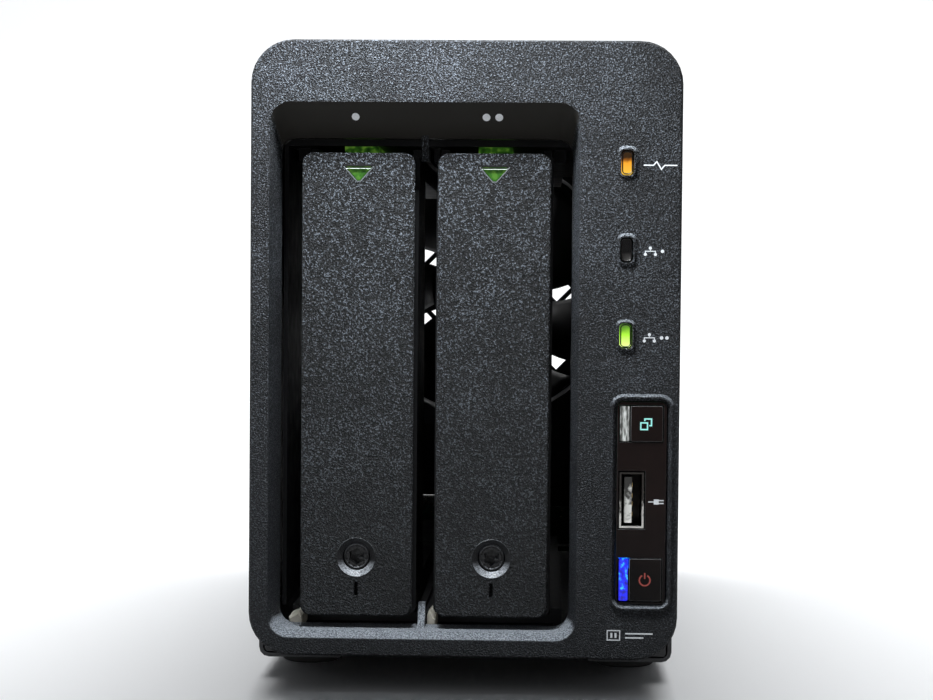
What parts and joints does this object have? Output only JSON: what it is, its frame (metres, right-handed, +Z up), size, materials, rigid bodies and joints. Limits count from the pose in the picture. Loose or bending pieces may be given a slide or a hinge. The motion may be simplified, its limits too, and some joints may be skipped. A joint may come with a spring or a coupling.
{
  "type": "nas enclosure",
  "caption": "Desktop network storage enclosure with side-by-side pull-out drive trays, a front control strip, and a rear panel with a fan and sockets.",
  "frame": {"origin": "on the desk, under the middle of the body's bounding box", "axes": "+Z up, -Y out of the front panel with the trays, +X to the right seen from the front"},
  "size_m": [0.1036, 0.232, 0.157],
  "materials": {
    "bezel_plastic": "spark-textured black moulded plastic",
    "door_plastic": "spark-textured black moulded plastic",
    "tray_plastic": "plain matt black moulded plastic",
    "lock_plastic": "smooth black moulded plastic",
    "gloss_black": "polished piano-black plastic",
    "painted_steel": "fine-textured black powder coat on sheet steel",
    "screw_steel": "black zinc-plated screws",
    "pin_steel": "drawn steel pins",
    "socket_steel": "nickel-plated stamped steel",
    "aluminium": "extruded aluminium",
    "rubber": "soft black rubber",
    "nylon": "natural cream nylon",
    "circuit_board": "green solder mask on glass-fibre board",
    "socket_plastic": "black moulded connector plastic",
    "usb_white": "white moulded connector plastic",
    "usb_blue": "blue moulded connector plastic",
    "lens_amber": "lit amber light pipe",
    "lens_dark": "unlit smoked light pipe",
    "lens_green": "lit green light pipe",
    "lens_blue": "lit blue light bar",
    "lens_clear": "unlit clear light bar",
    "tray_lens": "green-lit clear plastic",
    "fan_plastic": "black glass-filled plastic"
  },
  "bodies": {
    "enclosure": {"front_bezel": "bezel_plastic", "outer_cover": "painted_steel", "base_pan": "painted_steel", "foot_front_left": "rubber", "foot_front_right": "rubber", "foot_rear_left": "rubber", "foot_rear_right": "rubber", "rear_panel": "painted_steel", "fan_screw_1": "screw_steel", "fan_screw_2": "screw_steel", "fan_screw_3": "screw_steel", "fan_screw_4": "screw_steel", "cover_screw_left": "screw_steel", "cover_screw_right": "screw_steel", "lower_guide": "nylon", "drive_cage": "painted_steel", "sata_backplane": "circuit_board", "sata_connector_1": "socket_plastic", "sata_connector_2": "socket_plastic", "main_board": "circuit_board", "cpu_heatsink": "aluminium", "memory_module": "circuit_board", "rear_io_board": "circuit_board", "power_inlet": "socket_plastic", "lan_jack_1": "socket_steel", "lan_jack_2": "socket_steel", "usb3_port_stack": "socket_steel", "usb3_tongue_lower": "usb_blue", "usb3_tongue_upper": "usb_blue", "esata_port": "socket_steel", "status_led_lens": "lens_amber", "lan1_led_lens": "lens_dark", "lan2_led_lens": "lens_green", "control_panel": "gloss_black", "copy_light_bar": "lens_clear", "power_light_bar": "lens_blue", "front_io_board": "circuit_board", "front_usb_shell": "socket_steel", "front_usb_tongue": "usb_white", "fan_frame": "fan_plastic"},
    "fan_rotor": {"fan_rotor": "fan_plastic"},
    "power_button": {"power_button": "gloss_black"},
    "copy_button": {"copy_button": "gloss_black"},
    "reset_button": {"reset_button": "gloss_black"},
    "tray_1": {"tray_1_frame": "tray_plastic", "tray_1_light_pipe": "tray_lens", "tray_1_hinge_pin_left": "pin_steel", "tray_1_hinge_pin_right": "pin_steel"},
    "tray_1_latch": {"tray_1_latch": "nylon"},
    "tray_1_door": {"tray_1_door": "door_plastic", "tray_1_lens": "tray_lens"},
    "tray_1_lock": {"tray_1_lock": "lock_plastic"},
    "tray_2": {"tray_2_frame": "tray_plastic", "tray_2_light_pipe": "tray_lens", "tray_2_hinge_pin_left": "pin_steel", "tray_2_hinge_pin_right": "pin_steel"},
    "tray_2_latch": {"tray_2_latch": "nylon"},
    "tray_2_door": {"tray_2_door": "door_plastic", "tray_2_lens": "tray_lens"},
    "tray_2_lock": {"tray_2_lock": "lock_plastic"}
  },
  "joints": [
    {"name": "fan_spin", "type": "hinge", "parent": "enclosure", "child": "fan_rotor", "pos_m": [0, 0.0986, 0.097], "axis": [0, 1, 0], "continuous": true},
    {"name": "power_press", "type": "slide", "parent": "enclosure", "child": "power_button", "axis": [0, 1, 0], "range_m": [0, 0.0008], "stiffness_N_per_m": 600, "springref_m": -0.0004},
    {"name": "copy_press", "type": "slide", "parent": "enclosure", "child": "copy_button", "axis": [0, 1, 0], "range_m": [0, 0.0008], "stiffness_N_per_m": 600, "springref_m": -0.0004},
    {"name": "reset_press", "type": "slide", "parent": "enclosure", "child": "reset_button", "axis": [0, -1, 0], "range_m": [0, 0.001], "stiffness_N_per_m": 400, "springref_m": -0.0004},
    {"name": "tray_1_slide", "type": "slide", "parent": "enclosure", "child": "tray_1", "axis": [0, -1, 0], "range_m": [0, 0.125]},
    {"name": "tray_1_door_swing", "type": "hinge", "parent": "tray_1", "child": "tray_1_door", "pos_m": [-0.0262, -0.1046, 0.126], "axis": [-1, 0, 0], "range_deg": [0, 55]},
    {"name": "tray_1_lock_turn", "type": "hinge", "parent": "tray_1_door", "child": "tray_1_lock", "pos_m": [-0.0262, -0.107, 0.0318], "axis": [0, 1, 0], "range_deg": [0, 90]},
    {"name": "tray_1_latch_press", "type": "slide", "parent": "tray_1", "child": "tray_1_latch", "axis": [0, 1, 0], "range_m": [0, 0.0015], "stiffness_N_per_m": 300, "springref_m": -0.0006},
    {"name": "tray_2_slide", "type": "slide", "parent": "enclosure", "child": "tray_2", "axis": [0, -1, 0], "range_m": [0, 0.125]},
    {"name": "tray_2_door_swing", "type": "hinge", "parent": "tray_2", "child": "tray_2_door", "pos_m": [0.0068, -0.1046, 0.126], "axis": [-1, 0, 0], "range_deg": [0, 55]},
    {"name": "tray_2_lock_turn", "type": "hinge", "parent": "tray_2_door", "child": "tray_2_lock", "pos_m": [0.0068, -0.107, 0.0318], "axis": [0, 1, 0], "range_deg": [0, 90]},
    {"name": "tray_2_latch_press", "type": "slide", "parent": "tray_2", "child": "tray_2_latch", "axis": [0, 1, 0], "range_m": [0, 0.0015], "stiffness_N_per_m": 300, "springref_m": -0.0006}
  ]
}
